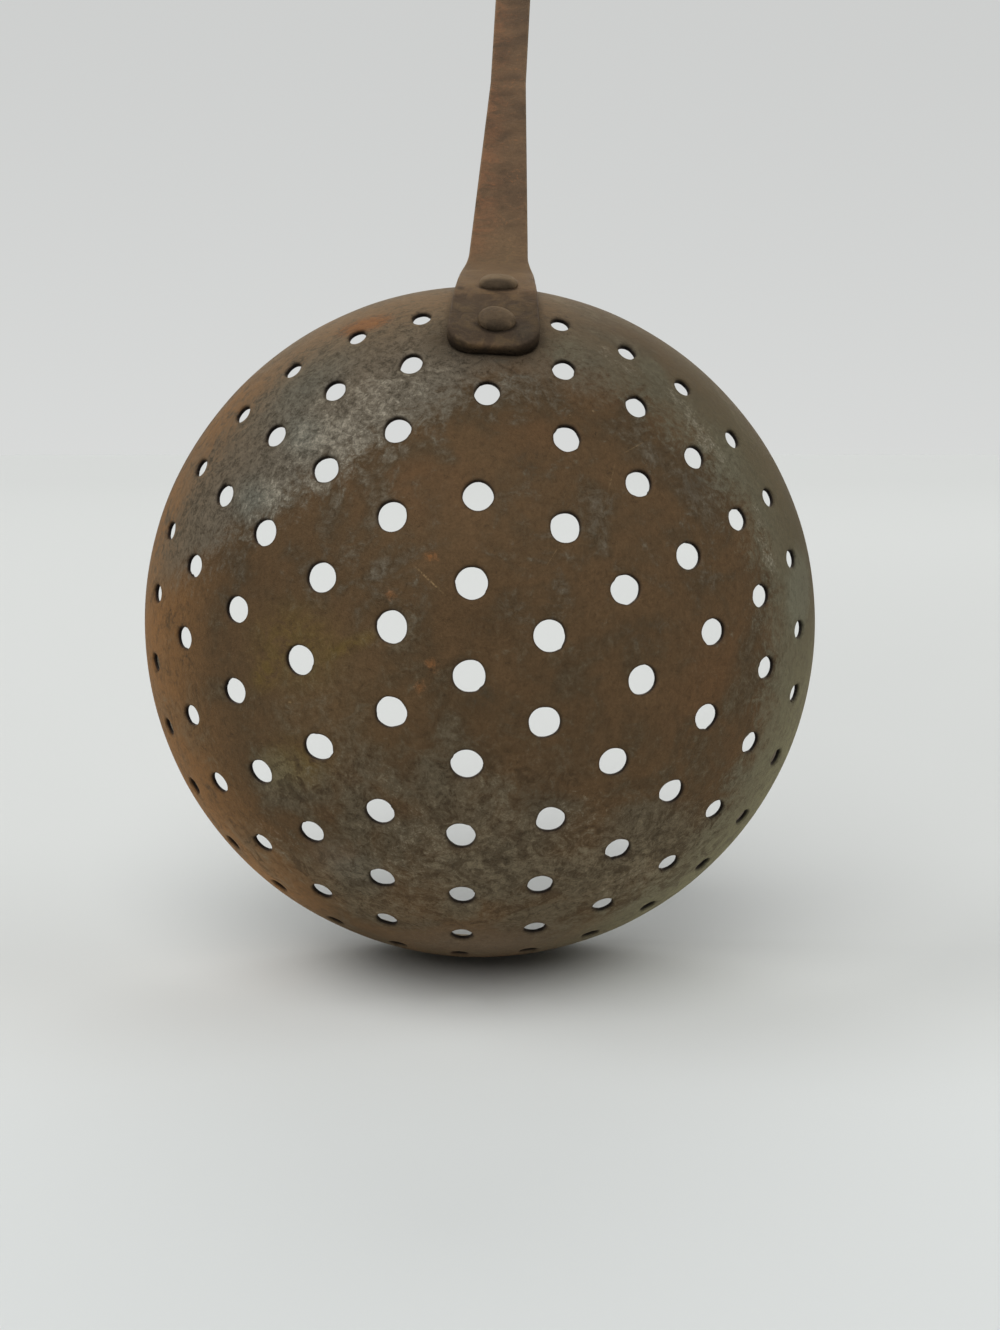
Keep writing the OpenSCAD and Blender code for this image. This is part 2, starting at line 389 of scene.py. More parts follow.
def hole_cell(ring, i):
    """The sheet round one hole as rows of closed loops, both faces and the hole's wall, and each row's
    painted shade. Each loop lies between the cell's edge and the hole's edge, along great circles from the
    hole's middle."""
    edge = cell_edge(ring, i)
    steps = len(edge)
    place = hole_place(ring, i)
    polar, azimuth = place or (angle_of(ring * ring_pitch), i * 360 / (ring * ring_growth))
    mid = bowl_direction(polar, azimuth)
    outwards = bowl_direction(polar + 90, azimuth)
    sideways = np.cross(mid, outwards)
    reach = np.arccos(np.clip(edge @ mid, -1, 1)) * bowl_r
    edge_turn = np.unwrap(np.arctan2(edge @ sideways, edge @ outwards))
    way = np.sign(edge_turn[-1] - edge_turn[0])
    even_turn = edge_turn.mean() + way * (np.arange(steps) - (steps - 1) / 2) * 2 * np.pi / steps

    def loop(run, share, depth):
        """Points run millimetres from the hole's middle, share of the way from the turns
        of the cell's edge to even ones, and depth millimetres into the sheet."""
        turn = edge_turn + (even_turn - edge_turn) * share
        ray = np.cos(turn)[:, None] * outwards + np.sin(turn)[:, None] * sideways
        angle = (run / bowl_r)[:, None]
        return on_sheet(np.cos(angle) * mid + np.sin(angle) * ray, depth)

    if place is None:
        return [([loop(reach * (1 - s), s, depth) for s in (0, 0.5, 1)], [0, 0, 0])
                for depth in (0.0, sheet_t)]
    stray = ragged_edge(steps)
    edge_run = hole_reach(polar, even_turn)
    lip = edge_run + lip_out[0]
    rows = [loop(reach + (lip - reach) * s, s, 0.0) for s in outer_share]
    rows += [loop(edge_run + out + stray * rough, 1, depth)
             for out, depth, rough in zip(lip_out, lip_depth, lip_rough)]
    rows += [loop(reach + (lip - reach) * s, s, sheet_t) for s in inner_share]
    return [(rows, [0] * len(outer_share) + lip_shade + [0] * len(inner_share))]


def grid_faces(rows, columns, first=0):
    """Quads of a grid of points stored row by row, each row a closed loop."""
    here = first + np.arange((rows - 1) * columns).reshape(rows - 1, columns)
    right = np.roll(here, -1, axis=1)
    return np.stack([here, right, right + columns, here + columns], axis=-1).reshape(-1, 4)


sheet_points, sheet_faces, sheet_shade, count = [], [], [], 0
for ring in range(ring_count + 1):
    for i in range(max(1, ring * ring_growth)):
        for rows, wear_and_shade in hole_cell(ring, i):
            sheet_faces.append(grid_faces(len(rows), len(rows[0]), count))
            sheet_points.append(np.concatenate(rows))
            sheet_shade.append(np.repeat(wear_and_shade, len(rows[0])))
            count += len(rows) * len(rows[0])

# The plain band outside the last ring, and the rim: great circles from the pattern's edge
# to the open edge, round it on a quarter-circle corner each side, and back inside
band_steps = circle_steps[-1]
band_azimuth = np.arange(band_steps) * 360 / band_steps
band_from = bowl_direction(angle_of((ring_count + 0.5) * ring_pitch) + 0 * band_azimuth, band_azimuth)
rim_to = np.stack([np.sin(np.radians(band_azimuth)), 0 * band_azimuth, np.cos(np.radians(band_azimuth))], -1)
band_angle = np.arccos(np.sum(band_from * rim_to, axis=-1))[:, None]
rim_corner = 0.45


def band_row(share, back, depth):
    """A loop at a share of the way to the rim, back millimetres short of it."""
    part = share * (1 - back / bowl_r / band_angle)
    toward = np.sin((1 - part) * band_angle) * band_from + np.sin(part * band_angle) * rim_to
    return on_sheet(toward / np.sin(band_angle), depth)


corner = np.radians([0, 30, 60, 90])
band_rows = [band_row(s, rim_corner, 0.0) for s in np.linspace(0, 1, 14)]
band_rows += [band_row(1, rim_corner * (1 - math.sin(a)), rim_corner * (1 - math.cos(a)))
              for a in corner[1:]]
band_rows += [band_row(1, rim_corner * (1 - math.cos(a)), sheet_t - rim_corner * (1 - math.sin(a)))
              for a in corner]
band_rows += [band_row(s, rim_corner, sheet_t) for s in np.linspace(1, 0, 12)[1:]]
sheet_points.append(np.concatenate(band_rows))
sheet_faces.append(grid_faces(len(band_rows), band_steps, count))
sheet_shade.append(np.zeros(len(band_rows) * band_steps))


def new_piece(name, points, faces, wear_and_shade, material):
    """A smooth mesh object of points in millimetres from the bowl's middle, each with a number that says how
    its edge is worn or how deep the painted shade on a hole's lip and wall is. Points that no face uses are
    left out, points that coincide are joined, and quads that lose a corner become triangles."""
    join_within = 0.002
    used, faces = np.unique(faces, return_inverse=True)
    mesh = bpy.data.meshes.new(name)
    mesh.from_pydata((points[used] * MM + np.array(bowl_mid)).tolist(), [], faces.reshape(-1, 4).tolist())
    mesh.attributes.new("wear_and_shade", "FLOAT", "POINT").data.foreach_set("value", wear_and_shade[used].astype(np.float32))
    work = bmesh.new()
    work.from_mesh(mesh)
    bmesh.ops.remove_doubles(work, verts=work.verts, dist=join_within * MM)
    bmesh.ops.recalc_face_normals(work, faces=work.faces)
    work.to_mesh(mesh)
    work.free()
    mesh.shade_smooth()
    mesh.materials.append(material)
    piece = bpy.data.objects.new(name, mesh)
    bpy.context.scene.collection.objects.link(piece)
    return piece


# Its tin is long worn off: brown patina with a band of grey, speckled remains of tin at the
# upper left, more of it low down and round the pad, greener towards the right edge, bare
# copper tones along the left one. The numbers of a soft oval patch are its strength where it
# is one of several, its middle's x and z seen from the front, its width and height, and its
# tilt in degrees.
patina, shader, place, wear_and_shade = new_material("worn_tin_and_patina")
across, back, up = place.part(0), place.part(1), place.part(2)
from_axis = (across * across + up * up) ** 0.5
cloud = place.noise(13, 3, 0.55, 0.7)
blotch = place.noise(4.6, 6, 0.75, 1.2)
mottle = place.noise(1.3, 5, 0.8, 0.5)
speck = place.noise(0.42, 2, 0.7)
brushed = place.node("ShaderNodeMapping", {"vector_type": "TEXTURE"},
                     {"Vector": place, "Rotation": (0, 0.15, 0), "Scale": (0.5, 0.5, 9)}).noise(1, 3, 0.7)
ragged = blotch * 0.6 + mottle * 0.4 - 0.5

# The brown patina, redder and yellower in places, coppery along the left edge
brown = (cloud + ragged * 0.6).ramp(0.36, 0.66).mix(seen(87, 68, 48), seen(73, 60, 44))
reddish = place.patches((1, -14, 31, 34, 20), (1, 44, -4, 30, 40), (0.6, 8, 41, 24, 14))
brown = (reddish * cloud.ramp(0.62, 0.4) * 0.5).mix(brown, seen(94, 68, 46))
brown = (place.patch(-27, -6, 44, 44) * 0.8).mix(brown, seen(94, 75, 53))
left_edge = from_axis.ramp(44, 66) * (across - up * 0.35).ramp(0, -26)
brown = (left_edge * (blotch + mottle * 0.4).ramp(0.45, 0.75)).mix(brown, seen(134, 97, 61))
olive = place.patches((1, -31, 2, 24, 22), (1, -21, 3.4, 15, 4, 28), (1, -37, -4, 10, 7, 60),
                      (1, -30, -19, 18, 15))
brown = (olive * (blotch + mottle * 0.3).ramp(0.45, 0.75) * 0.8).mix(brown, seen(97, 80, 44))

# What is left of the tin: a slanting band at the upper left, the top round the pad, and
# low down
band_slant = 34.7
band = up * cosine(band_slant) - across * sine(band_slant)
grey_band = ((band + ragged * 30).ramp(37.5, 45) * (across + ragged * 30).ramp(6, -10)
             * (from_axis + ragged * 24).ramp(69, 58))
grey_top = (up + ragged * 30).ramp(44, 54) * across.ramp(32, 14)
low_spread = place.patches((1, 2, -33, 84, 60), (1, 34, -36, 50, 34, 25), (0.4, -24, -20, 26, 26),
                           (0.4, -40, -42, 30, 24), (0.6, -34, -24, 18, 20),
                           (0.6, -24, -43, 26, 18), (0.7, -17, -49, 28, 14))
grey_low = (low_spread * 0.8 + ragged * 3.2 + (cloud - 0.5) * 1.8).ramp(0.0, 0.8)
tinned = grey_band + (1 - grey_band) * (grey_top * 0.55 + grey_low * 0.7)
tin = up.ramp(0, 15).mix(seen(103, 95, 79), seen(108, 103, 92))
colour = (tinned * 0.78).mix(brown, tin)
bluish = place.patches((1, -34, 47, 34, 15, 40), (1, -41, 26, 15, 12), (1, -33, 38, 14, 12)) * 0.5
colour = bluish.mix(colour, seen(101, 106, 99))
colour = (place.patch(-34, -21, 15, 12) * 0.35).mix(colour, seen(122, 113, 82))
colour = (place.patch(-22, -39, 22, 15, -30) * 0.35).mix(colour, seen(114, 111, 100))
# Painted light: the bottom is painted paler and greyer, as the pale card below lights it
colour = (place.patch(6, -58, 66, 22) * 0.7).mix(colour, seen(98, 86, 72))

# The greener right side and its pale rim
right_edge = ((from_axis + ragged * 34).ramp(50, 59) * (from_axis + ragged * 20 + up * 0.15).ramp(75, 62)
              * (across + up * 0.1).ramp(4, 34))
right_patches = place.patches((1, 30, 53, 14, 8, -40), (1, 36, 46, 14, 9, -40),
                              (1, 44, 38, 14, 10, -50), (0.7, 13, 56, 16, 11))
greened = right_edge + (1 - right_edge) * (right_patches + ragged * 3).ramp(0.2, 0.9)
colour = (greened * 0.65).mix(colour, seen(105, 103, 87))
edge = from_axis.ramp(52, 68)
right_rim = edge * across.ramp(10, 50)
colour = (right_rim * 0.6).mix(colour, seen(93, 88, 69))
pale_right = (place.patch(61, 13, 12, 26) + ragged).ramp(0.1, 0.7)
colour = (pale_right * 0.6).mix(colour, seen(116, 116, 100))
pale_rim = right_rim * up.ramp(16, -20) * (blotch + mottle * 0.4).ramp(0.5, 0.8)
colour = (pale_rim * 0.7).mix(colour, seen(124, 122, 94))

# The plain band by the rim, the tin's bright specks and streaks, and the pits and dark
# blotches between them
bright_zone = place.patches((1, -27, 39, 44, 24, 34), (0.8, -39, 25, 24, 14, 34),
                            (0.5, -13, 48, 30, 14, 20), (0.35, -10, -32, 34, 28),
                            (0.3, -36, -36, 20, 16, -40), (0.3, 16, -26, 24, 20),
                            (0.4, 30, -40, 20, 14, 30))
behind = back.ramp(-24, -8) * ((cloud + blotch) * 0.5).ramp(0.36, 0.5)
clouded = (blotch + ragged * 0.5).ramp(0.4, 0.62).mix(seen(76, 62, 46), seen(100, 92, 76))
colour = (behind * 0.85).mix(colour, clouded)
streaks = place.patches((1, 38, 43, 30, 6, -52), (0.8, 52, 22, 26, 5, -70),
                        (0.8, 24, 54, 16, 5, -30))
bright = ((bright_zone + streaks * 0.9) * 0.34 + blotch * 1.1 + speck * 0.8 + mottle * 0.9
          - 1.54).ramp(0, 0.55)
colour = (bright * (bright_zone + streaks).ramp(0, 0.3) * 0.7).mix(colour, seen(158, 151, 136))
flecked = (low_spread * 0.3 + blotch * 1.7 + mottle + speck * 0.5 - 1.87).ramp(0, 0.3)
colour = (flecked * low_spread.ramp(0.05, 0.5) * 0.6).mix(colour, seen(112, 102, 83))
pitted = (tinned * 0.22 + speck + (1 - mottle) * 1.2 + (1 - blotch) * 0.7 - 1.56).ramp(0, 0.35)
colour = (pitted * 0.65).mix(colour, seen(42, 36, 29))
darkly = low_spread.ramp(0.1, 0.5) * (blotch + ragged * 0.5).ramp(0.52, 0.38)
colour = (darkly * 0.5).mix(colour, seen(58, 49, 38))

# Rust spots, soot, painted shadow at the pad's foot, scratches, and a painted contact shadow along the pad's
# sides
rusty = (place.patches((1.3, -24.5, 59, 24, 7, 17), (0.6, -36, 51, 18, 5, 38),
                       (0.8, -8.3, 19, 7, 5), (0.8, -15, 12, 6.5, 5), (0.8, -7.4, 1, 7, 8),
                       (0.8, -9.3, -3, 5, 6))
         + mottle * 1.5 - 1.2).ramp(0, 0.8)
colour = (rusty * 0.66).mix(colour, seen(146, 96, 56))
# The patch at the pad's foot is painted shadow under it, and the two beside the pad darken the bowl either
# side of it
soot_and_pad_shade = place.patches((1, 1, -4, 9, 7), (1, 7.4, 36, 7, 9), (0.8, 37, 33, 10, 8),
                      (0.8, 28.4, 8, 9, 8), (0.8, 12, -22, 16, 13), (1, 0, 53.5, 28, 6),
                      (1.2, -9, 56, 13, 10), (0.9, 9.5, 57.5, 11, 8))
colour = (soot_and_pad_shade * (mottle + blotch).ramp(0.85, 1.2) * 0.6).mix(colour, seen(50, 43, 34))
scratched = place.patches((1, -8.6, 15, 11, 0.5, -39.5), (0.6, 25.5, 38.5, 8, 0.35, 30),
                          (0.6, 21.7, 33.5, 6.5, 0.35, 77), (0.35, 12, 20, 9, 0.3, 60),
                          (1, 18.2, 44.5, 0.8, 0.8), (1, 14.1, 43.4, 0.5, 0.9),
                          (1, -32, -8, 1.0, 0.5)) * speck.ramp(0.35, 0.6)
colour = (scratched * 0.65).mix(colour, seen(146, 122, 88))
# Painted contact shadow: a dark strip on the bowl along the pad's sides
painted_shadow_by_pad = ((across * across) ** 0.5 + up * 0.08).ramp(14.6, 13.4) * up.ramp(54.5, 56.5)
colour = (painted_shadow_by_pad * 0.4).mix(colour, seen(46, 40, 34))

# Painted light and shade: the metal is painted darker towards the top and lighter low down and to the right,
# to even out the lamps' light, with patches of lighter and darker tone, and its fine grain
painted_light_and_tone = (1.02 - up * 0.0045 + up.ramp(-30, -66) * 0.4 + across.ramp(5, 45) * 0.15
             + place.patches((-0.16, -1, 11, 24, 28), (0.1, 9, -36, 60, 44),
                             (0.08, -12, -51, 30, 12), (-0.1, 34, 50, 44, 24),
                             (-0.12, 62, 14, 18, 50), (0.09, -41, 26, 16, 14),
                             (0.05, -33, 39, 14, 12))
             - edge * across.ramp(5, 30) * up.ramp(0, 20) * 0.1)
colour = colour.shade(painted_light_and_tone * (mottle * 1.2 + speck * 0.7 + brushed * 0.3 - 0.1))

# Inside the tin is dull but whole. A hole's lip is painted dark and its wall darker still: painted shade on
# the punched bevel and in the hole.
lining = (cloud * 0.5 + blotch * 0.5).ramp(0.38, 0.66).mix(seen(130, 126, 114), seen(88, 76, 60))
lining = lining.shade(mottle * 0.9 + speck * 0.5 + 0.3)
inside = place.away_from().ramp(bowl_r - 0.7, bowl_r - 0.9)
colour = inside.mix(colour, lining)
colour = (wear_and_shade.ramp(0.1, 1.0) * 0.45).mix(colour, seen(44, 38, 34))
colour = (wear_and_shade.ramp(1.2, 1.9) * 0.85).mix(colour, seen(22, 21, 28))
old_metal = {"Specular_IOR_Level": 0.2, "Specular_Tint": seen(214, 188, 150)}
feed(shader, Base_Color=colour, **old_metal,
     Roughness=0.62 - tinned * 0.08 + rusty * 0.15 + (mottle - 0.5) * 0.25,
     Metallic=0.45 + tinned * 0.15 - rusty * 0.2,
     Normal=place.bump(mottle * 0.7 + blotch + speck * 0.35, 0.16))
bowl = new_piece("pierced_bowl", np.concatenate(sheet_points), np.concatenate(sheet_faces),
                 np.concatenate(sheet_shade), patina)
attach(bowl, "root")
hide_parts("bowl")

# The handle: one strap of iron, drawn out under the hammer from a wide riveting pad on the
# bowl through a bend to a thin stem, and flattened at its end into a pierced hanging eye.
# The pad's upper face was beaten flatter on either side of a crease across it.
strap_t, seat_gap, pad_corner, edge_r = 2.8, 0.05, 5.6, 0.6
leave_drop, root_width, bend_r, lean, neck_width = 13.4, 14.6, 28.0, 40.0, 12.0
waist_run, waist_width, waist_t = 72.0, 8.4, 4.0
tail_run, tail_width, eye_r, eye_t, eye_hole_r = 220.0, 11.0, 10.5, 2.5, 4.5
crease_polar, beaten_low, beaten_high, beaten_foot, foot_reach = 66.0, 0.35, 0.2, 0.7, 5.0
strap_in, strap_out = bowl_r + seat_gap, bowl_r + seat_gap + strap_t
leave_polar = 90 - angle_of(leave_drop)
pad_run = math.radians(leave_polar - pad_polar) * strap_out
crease_run = math.radians(crease_polar - pad_polar) * strap_out
bend_run = math.radians(leave_polar - (90 - lean)) * bend_r
stem_from = pad_run + bend_run
eye_run = stem_from + waist_run + tail_run
bend_mid = (strap_out + bend_r) * np.array([-cosine(leave_polar), sine(leave_polar)])
stem_way = np.array([cosine(lean), sine(lean)])


def beaten(run):
    """How far the pad's upper face lies below its arc: a shallow bow below the crease and
    another above it, and a fall towards the foot."""
    low, high = run / crease_run, (run - crease_run) / (pad_run - crease_run)
    return (beaten_low * 4 * low * (1 - low) * (low < 1)
            + beaten_high * 4 * high * (1 - high) * ((high > 0) & (high < 1))
            + beaten_foot * np.clip(1 - run / foot_reach, 0, 1) ** 2)


def strap_line(run):
    """The strap's upper face seen from the side, as y and z, and the way out of it, at a
    distance run along it: an arc over the bowl, an arc the other way, a straight stem."""
    tilt = (math.radians(pad_polar) + np.minimum(run, pad_run) / strap_out
            - np.clip(run - pad_run, 0, bend_run) / bend_r)
    out = np.stack([-np.cos(tilt), np.sin(tilt)], axis=-1)
    pad = (strap_out - beaten(run))[..., None] * out
    stem = bend_mid - bend_r * out + np.clip(run - stem_from, 0, None)[..., None] * stem_way
    return np.where((run < pad_run)[..., None], pad, stem), out


strap_knots = strap_line(np.array([0, pad_run, stem_from, stem_from + waist_run, eye_run]))[0] @ stem_way
knot_widths = np.array([pad_width, root_width, neck_width, waist_width, tail_width])


def half_width(run):
    """Half the strap's width: even on the pad past its round corners, a smooth shoulder
    through the bend, an even taper to the waist and an even widening to the eye."""
    level = strap_line(run)[0] @ stem_way
    even = np.interp(level, strap_knots, knot_widths / 2)
    bent = np.clip((level - strap_knots[1]) / (strap_knots[2] - strap_knots[1]), 0, 1)
    shoulder = (root_width - neck_width) / 2 * (bent - (1 - np.cos(np.pi * bent)) / 2)
    short = pad_corner - np.clip(level - strap_knots[0], 0, pad_corner)
    return even + shoulder - pad_corner + np.sqrt(pad_corner ** 2 - short ** 2)


# The strap's section, once round from the left end of its upper face: shares of its half
# width and half thickness, and the angle on its rounded corners
face_steps = 12
face_share = np.linspace(-1, 1, face_steps + 1)
corner_turn = np.array([67.5, 45.0, 22.5])
section_across = np.concatenate([face_share, np.ones(9), -face_share, -np.ones(9)])
section_up = np.concatenate([np.ones(face_steps + 4), [1, 0, -1], -np.ones(face_steps + 7),
                             [-1, 0, 1], np.ones(3)])
section_turn = np.radians(np.concatenate([
    90 + 0 * face_share, corner_turn, [0, 0, 0], -corner_turn[::-1],
    -90 + 0 * face_share, corner_turn - 180, [180, 180, 180], 180 - corner_turn[::-1]]))


def section_lift(up, turn, thick, short):
    """Height above the strap's upper face of points of its section, whose faces both give
    way by short: edges rounded from face to side."""
    upper, under = -edge_r - short, edge_r - thick + short
    return (1 + up) / 2 * upper + (1 - up) / 2 * under + edge_r * np.sin(turn)


# Hammer marks on the strap's upper face, in millimetres
broad_mark, close_mark = 0.08, 0.05


def hammered(across, line, out, lift, thick):
    """Points of the strap in space, its upper face uneven from hammer marks: slow waves
    from a few millimetres to two centimetres long that fade through its thickness."""
    y, z = line[..., 0], line[..., 1]
    broad = np.sin(0.31 * y + 0.4 * across + 1) * np.sin(0.23 * z - 0.5 * across + 2)
    close = np.sin(0.83 * y - 0.9 * across) * np.sin(0.71 * z + 0.6 * across + 0.7)
    high = lift + (broad_mark * broad + close_mark * close) * (1 + lift / thick)
    return np.stack([across, y + high * out[..., 0], z + high * out[..., 1]], axis=-1)


# The eye's plate takes over from the strap this far before its middle, and the strap leaves
# the ball over this much of its length
port_back, lift_off = 14.0, 6.0
strap_end = eye_run - port_back
foot_steps = edge_r * (1 - np.sin(np.radians([90, 67.5, 45, 22.5])))
# Stations along the strap: close together round the foot's edge, then each millimetre
stations = np.concatenate([[0], foot_steps, np.arange(1.4, strap_end - 0.6, 1.0), [strap_end]])
strap_y_z, strap_way_out = strap_line(stations)
strap_across = (section_across * (half_width(stations)[:, None] - edge_r) + edge_r * np.cos(section_turn))
thick_knots = [0, stem_from, stem_from + waist_run, strap_end]
strap_thick = np.interp(stations, thick_knots, [strap_t, strap_t, waist_t, eye_t]) - beaten(stations)
seated = np.clip((pad_run + lift_off - stations) / lift_off, 0, 1)
ball_fall = strap_in - np.sqrt(strap_in ** 2 - strap_across ** 2)
strap_thick = strap_thick[:, None] + seated[:, None] * ball_fall
foot_short = edge_r - np.sqrt(edge_r ** 2 - np.clip(edge_r - stations, 0, None) ** 2)
strap_lift = section_lift(section_up, section_turn, strap_thick, foot_short[:, None])
# The first section is drawn together, which closes the foot's end
strap_lift[0] = -strap_thick[0] / 2
strap_points = hammered(strap_across, strap_y_z[:, None], strap_way_out[:, None], strap_lift, strap_thick)
strap_faces = grid_faces(len(stations), len(section_turn))
strap_wear = np.tile(np.abs(np.sin(2 * section_turn)), len(stations))

# The eye's outline once round from the port's left end, inset by the edge's radius, with
# the way out of it: the port, and then side, fillet, disc, fillet and side
fillet_r, hole_edge_r = 8.0, 0.5
port_half = half_width(np.array([strap_end]))[0]
fillet_x = port_half + fillet_r
fillet_back = math.sqrt((eye_r + fillet_r) ** 2 - fillet_x ** 2)
meet = math.degrees(math.atan2(fillet_back, fillet_x))
fillet_turn = np.radians(np.linspace(180, 180 - meet, 8))
disc_turn = np.radians(np.linspace(-meet, 180 + meet, 56))[1:-1]
disc_r = eye_r + 0.18 * np.sin(3 * disc_turn) * np.sin(disc_turn) ** 2
fillet_out = -np.stack([np.cos(fillet_turn), np.sin(fillet_turn)], axis=-1)
fillet = np.array([fillet_x, -fillet_back]) - (fillet_r + edge_r) * fillet_out
disc_out = np.stack([np.cos(disc_turn), np.sin(disc_turn)], axis=-1)
port = np.stack([face_share * (port_half - edge_r), -port_back + 0 * face_share], axis=-1)
port_out = np.stack([np.sign(face_share), 0 * face_share], axis=-1)
mirror = np.array([-1, 1])
outline = np.concatenate([port, fillet, (disc_r - edge_r)[:, None] * disc_out, fillet[::-1] * mirror])
outline_out = np.concatenate([port_out, fillet_out, disc_out, fillet_out[::-1] * mirror])
hole_way = outline / np.linalg.norm(outline, axis=1, keepdims=True)

# The plate's section, once round from the middle of the hole's wall: over the upper face,
# round the outer edge and back under the lower face
lip = np.radians([0, 30, 60])
lip_drop, lip_back = hole_edge_r * (1 - np.sin(lip)), -hole_edge_r * np.cos(lip)
plate_share = np.linspace(0, 1, 5)
side_rows = slice(face_steps + 1, face_steps + 10)
side_lift = section_lift(section_up[side_rows], section_turn[side_rows], eye_t, 0)
eye_share = np.concatenate([np.zeros(4), plate_share, np.ones(9), plate_share[::-1], np.zeros(4)])
eye_back = np.concatenate([[-hole_edge_r], lip_back, np.zeros(19), lip_back[::-1], [-hole_edge_r]])
eye_out = np.concatenate([np.zeros(9), edge_r * np.cos(section_turn[side_rows]), np.zeros(9)])
eye_lift = np.concatenate([[-eye_t / 2], -lip_drop, np.zeros(5), side_lift, -eye_t + np.zeros(5),
                           lip_drop[::-1] - eye_t, [-eye_t / 2]])
eye_plan = ((eye_hole_r + hole_edge_r + eye_back)[:, None, None] * hole_way * (1 - eye_share)[:, None, None]
            + eye_share[:, None, None] * outline + eye_out[:, None, None] * outline_out)
eye_mid, eye_way_out = strap_line(np.array([eye_run]))
eye_points = hammered(eye_plan[..., 0], eye_mid[0] + eye_plan[..., 1:] * stem_way, eye_way_out[0],
                      eye_lift[:, None] + 0 * eye_plan[..., 0], eye_t)
eye_faces = grid_faces(len(eye_share), len(outline), strap_points[..., 0].size)
eye_faces = eye_faces.reshape(-1, len(outline), 4)
# The plate's edge is open where the strap comes in
port_rows = slice(8, 18)
in_port = np.zeros(eye_faces.shape[:2], bool)
in_port[port_rows, :face_steps] = True
eye_wear = np.repeat(np.abs(eye_out / edge_r) * (eye_lift > -eye_t) * 0.6, len(outline))

handle_points = np.concatenate([strap_points.reshape(-1, 3), eye_points.reshape(-1, 3)])
handle_faces = np.concatenate([strap_faces, eye_faces[~in_port]])


def browned_iron(name, pale, dark):
    """Old iron, browned all over: clouds of a pale and a dark tone, a fine grain, and small spots of rust."""
    made, shader, place, wear_and_shade = new_material(name)
    grain = place.noise(0.7, 5, 0.8)
    blotch = place.noise(4.5, 5, 0.7, 1.0)
    tone = place.noise(13, 3, 0.6, 0.5).ramp(0.36, 0.62).mix(pale, dark)
    rusty = (blotch * 0.6 + grain * 0.6 - 0.66).ramp(0, 0.12)
    tone = (rusty * 0.45).mix(tone, seen(128, 84, 52))
    return made, shader, place, wear_and_shade, grain, blotch, tone


iron, shader, place, wear_and_shade, grain, blotch, tone = browned_iron(
    "browned_iron", seen(98, 78, 60), seen(78, 63, 50))
across, back, up = place.part(0), place.part(1), place.part(2)
on_pad = (up + (blotch - 0.5) * 8).ramp(67.5, 63.5)
tone = (on_pad * 0.75).mix(tone, seen(60, 51, 43))
# Painted light: the strap is painted lighter where it bends up from the pad and faces the light
painted_light_at_bend = place.patch(-1, 76, 30, 32) * up.ramp(64.5, 67)
tone = (painted_light_at_bend * 0.6).mix(tone, seen(111, 91, 69))
left_rust = back.ramp(-14, 6) * across.ramp(2, -6)
tone = (left_rust * blotch.ramp(0.35, 0.6) * 0.5).mix(tone, seen(124, 84, 60))
rubbed = wear_and_shade.ramp(0.3, 1.0) * blotch.ramp(0.35, 0.55) * up.ramp(68, 74)
tone = (rubbed * 0.3).mix(tone, seen(134, 114, 88))
yellowed = blotch.ramp(0.45, 0.62) * up.ramp(84, 66)
tone = (yellowed * 0.35).mix(tone, seen(100, 84, 60))
greyed_pad = place.patch(5.6, 58, 6.5, 7)
tone = (greyed_pad * 0.4).mix(tone, seen(58, 57, 54))
rubbed_foot = place.patch(-1.5, 54.5, 11, 4) * blotch.ramp(0.3, 0.55)
tone = (rubbed_foot * 0.75).mix(tone, seen(102, 80, 58))
# Dark in a nick at the pad's left shoulder, with painted shadow under the rivets' heads and along the pad's
# edges by the bowl
rivet_drops = {"lower_rivet": 41.9, "upper_rivet": 26.0}
head_shift = {"lower_rivet": 0.45, "upper_rivet": 0.3}
nicks_and_painted_shade = place.patch(-6.6, 66.6, 2.4, 1.6)
for node, drop in rivet_drops.items():
    polar = 90 - angle_of(drop)
    middle = (head_shift[node], -cosine(polar) * strap_out, sine(polar) * strap_out)
    painted_shadow_by_head = place.away_from(middle).ramp(4.7, 3.9)
    nicks_and_painted_shade = nicks_and_painted_shade + painted_shadow_by_head * up.ramp(middle[2] - 0.3, middle[2] - 1.1)
tone = (nicks_and_painted_shade * 0.75).mix(tone, seen(34, 29, 25))
painted_shadow_by_bowl = place.away_from().ramp(bowl_r + 1.9, bowl_r + 0.9)
tone = (painted_shadow_by_bowl * on_pad * 0.8).mix(tone, seen(32, 28, 24))
# Fine grain and blotches, and painted shade on the pad, darker towards its right side, away from the light
tone = tone.shade((0.1 + grain * 1.3 + blotch * 0.5) * (1 - on_pad * across.ramp(-4, 7) * 0.25))
feed(shader, Base_Color=tone, **old_metal, Roughness=0.62 + (grain - 0.5) * 0.25, Metallic=0.45,
     Normal=place.bump(grain * 0.6 + blotch * 1.1, 0.2))

handle = new_piece("forged_handle", handle_points, handle_faces,
                   np.concatenate([strap_wear, eye_wear]), iron)
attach(handle, "root")
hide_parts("handle")

# The two rivets: iron pins through pad and bowl, their heads outside low uneven domes that
# have worn into the strap, and their ends beaten over inside the bowl.
head_r, head_h, shank_r, tail_r, tail_h = 3.6, 1.8, 2.0, 3.2, 1.2
head_sunk, tail_gap = 0.4, 0.1
dome_share = np.array([0, 0.25, 0.5, 0.68, 0.82, 0.92, 0.98, 1.0])
dome_rise = np.array([1, 0.99, 0.94, 0.86, 0.73, 0.55, 0.36, 0.18])
around = np.radians(np.arange(0, 360, 7.5))

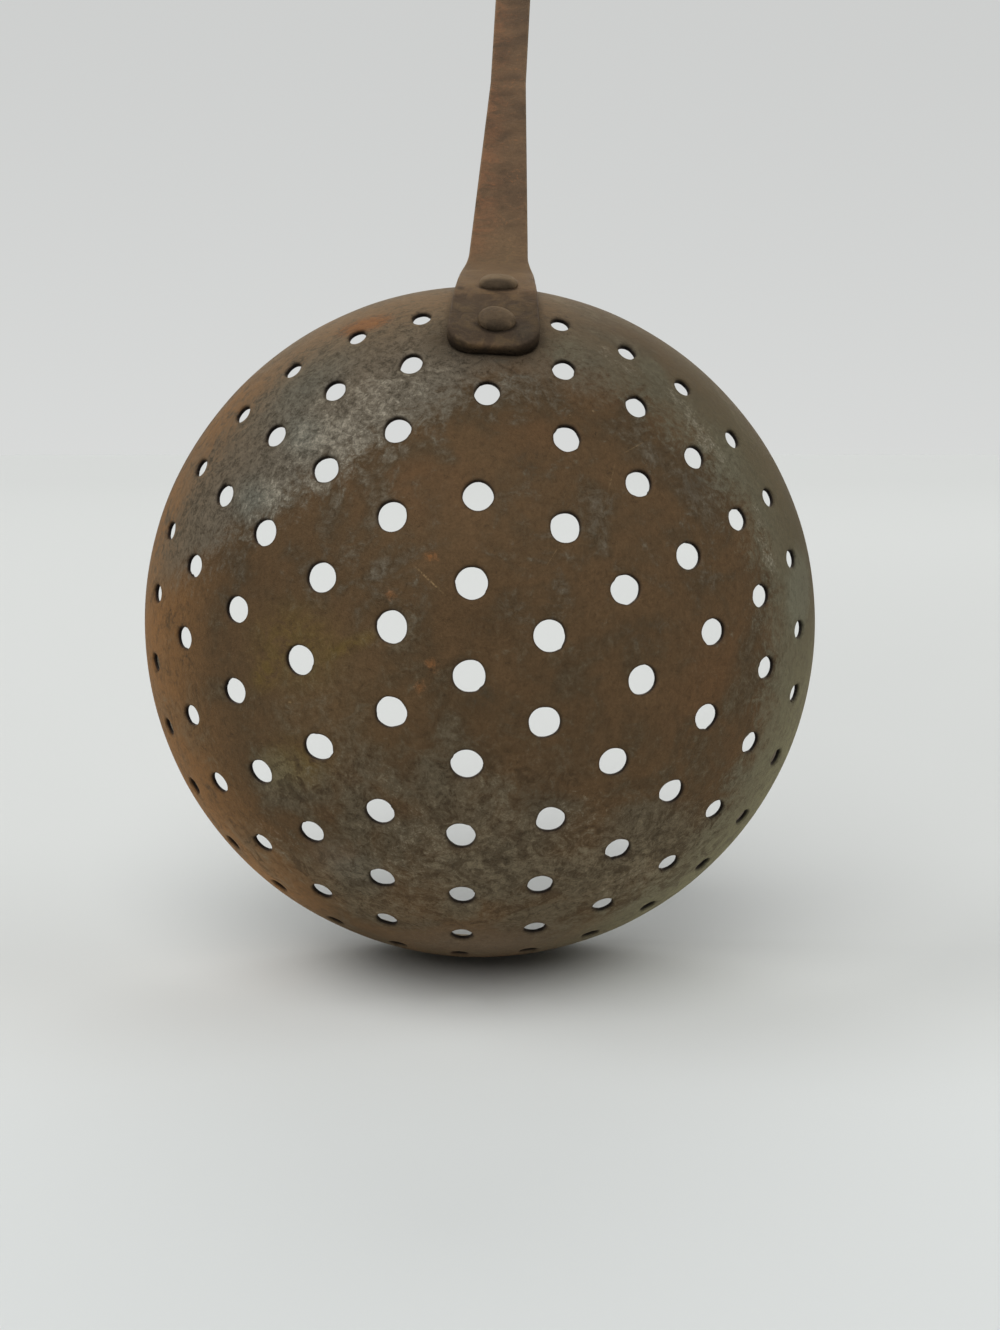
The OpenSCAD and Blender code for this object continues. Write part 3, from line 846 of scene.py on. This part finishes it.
rivet_iron, shader, place, wear_and_shade, grain, blotch, tone = browned_iron(
    "rivet_iron", seen(91, 76, 59), seen(70, 59, 48))
back, up = place.part(1), place.part(2)
# Painted light: the upper rivet's head, which faces up near the bend, is painted lighter
tone = (up.ramp(62, 66) * 0.8).mix(tone, seen(112, 95, 75))
tone = (wear_and_shade * blotch.ramp(0.3, 0.55) * 0.4).mix(tone, seen(104, 88, 68))
# Painted shade: the lower rims of both rivet heads are painted dark
under = back.ramp(-27.6, -29.2) * up.ramp(63, 65) + back.ramp(-43.0, -44.3) * up.ramp(63, 62)
tone = (under * 0.75).mix(tone, seen(34, 29, 25))
feed(shader, Base_Color=tone.shade(0.1 + grain * 1.4 + blotch * 0.4), **old_metal,
     Roughness=0.58 + (grain - 0.5) * 0.25, Metallic=0.45,
     Normal=place.bump(grain * 0.6 + blotch * 1.4, 0.2))

for node, drop in rivet_drops.items():
    polar = 90 - angle_of(drop)
    seat = strap_out - beaten(np.array([math.radians(polar - pad_polar) * strap_out]))[0]
    inner = math.sqrt((bowl_r - sheet_t) ** 2 - tail_r ** 2)
    # The outline from the head's top down round its edge, along the shank and to the tail
    reach = np.concatenate([head_r * dome_share, [head_r, shank_r, shank_r, tail_r],
                            tail_r * dome_share[::-1]])
    height = np.concatenate([seat + head_h * dome_rise, [seat - head_sunk, seat - head_sunk],
                             [inner + tail_gap, inner + tail_gap], inner - tail_h * dome_rise[::-1]])
    lean_in = np.concatenate([np.ones(9), np.zeros(2), np.ones(9)])[:, None]
    uneven = 1 + lean_in * (0.035 * np.sin(2 * around + drop) + 0.025 * np.sin(3 * around + 2 * drop))
    radius = reach[:, None] * uneven
    tipped = lean_in * 0.03 * radius * np.sin(around + drop)
    shift = head_shift[node] * (height[:, None] > seat - 2 * head_sunk)
    axis, up_way = np.array([0, -cosine(polar), sine(polar)]), np.array([0, sine(polar), cosine(polar)])
    rivet_points = ((radius * np.cos(around) + shift)[..., None] * np.array([1, 0, 0])
                    + (radius * np.sin(around))[..., None] * up_way
                    + (height[:, None] + tipped)[..., None] * axis)
    rivet_wear = np.repeat(np.concatenate([dome_share ** 2, np.zeros(4), dome_share[::-1]]), len(around))
    rivet = new_piece(node + "_domed", rivet_points.reshape(-1, 3), grid_faces(len(reach), len(around)),
                      rivet_wear, rivet_iron)
    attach(rivet, "root")
    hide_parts(node)
